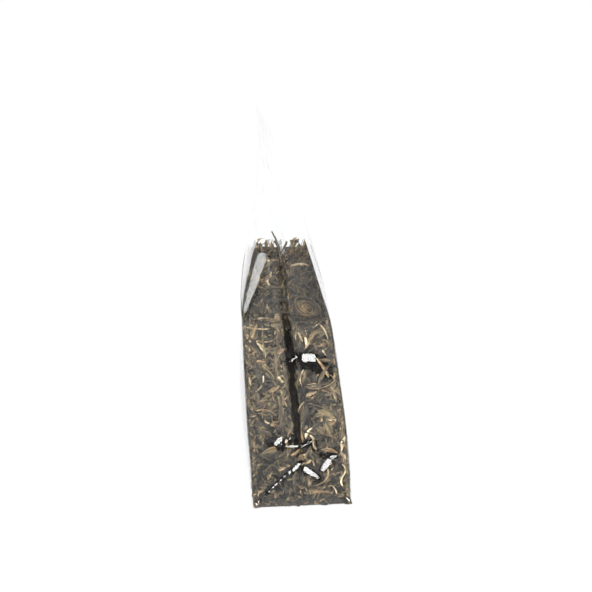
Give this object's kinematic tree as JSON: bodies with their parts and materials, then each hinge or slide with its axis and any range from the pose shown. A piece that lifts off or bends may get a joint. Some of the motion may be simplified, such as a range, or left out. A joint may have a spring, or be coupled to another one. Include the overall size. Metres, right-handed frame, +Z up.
{
  "type": "gusseted clear film bag of loose leaf tea",
  "caption": "Tall clear film bag with side gussets, a flat block bottom and a sealed, leaning top, filled to a little over half with loose twisted tea leaves and stems.",
  "frame": {"origin": "middle of the flat base, on the surface that the bag stands on", "axes": "+Z up along the bag, X across the gusset sides (the near gusset faces -Y), Y along the wide panels, the top leaning to -X"},
  "size_m": [0.0643, 0.1026, 0.228],
  "materials": {
    "clear_film": "clear glossy film",
    "dark_leaf": "dry twisted leaf",
    "brown_leaf": "dry twisted leaf",
    "reddish_leaf": "dry leaf",
    "khaki_leaf": "dry leaf",
    "tan_stem": "dry stem",
    "amber_stem": "dry stem",
    "cream_stem": "dry stem"
  },
  "bodies": {
    "root": {"amber_stem_upright": "amber_stem", "back_amber_stem": "amber_stem", "back_brown_curl": "brown_leaf", "back_cream_stem": "cream_stem", "back_long_leaf": "dark_leaf", "back_olive_leaf": "khaki_leaf", "back_red_leaf": "reddish_leaf", "broad_dark_leaf": "dark_leaf", "brown_diagonal_leaf": "reddish_leaf", "cream_s_stem": "cream_stem", "curved_cream_stem": "cream_stem", "dark_twist_left": "dark_leaf", "dark_twist_middle": "brown_leaf", "far_brown_leaf": "brown_leaf", "far_dark_twist": "dark_leaf", "far_khaki_leaf": "khaki_leaf", "far_tan_stem": "tan_stem", "film_bag": "clear_film", "forked_stem": "dark_leaf", "front_brown_curl": "brown_leaf", "front_cream_stem": "cream_stem", "front_long_leaf": "dark_leaf", "front_olive_leaf": "khaki_leaf", "front_red_leaf": "reddish_leaf", "front_tan_stem": "tan_stem", "green_curl_left": "khaki_leaf", "green_grey_leaf": "khaki_leaf", "khaki_leaf": "khaki_leaf", "orange_chip": "amber_stem", "pale_yellow_flake": "cream_stem", "pinkish_brown_leaf": "reddish_leaf", "reddish_strip": "reddish_leaf", "rolled_leaf": "brown_leaf", "small_tan_hook": "tan_stem", "tan_bud": "tan_stem", "tan_flake": "tan_stem", "tan_stem_upper": "tan_stem", "tea_bed": "dark_leaf", "top_brown_leaf": "brown_leaf", "top_grey_leaf": "dark_leaf", "top_long_stem": "cream_stem", "top_near_leaf": "dark_leaf", "top_olive_leaf": "khaki_leaf", "top_tan_leaf_left": "tan_stem", "top_tan_leaf_right": "tan_stem"}
  },
  "joints": []
}
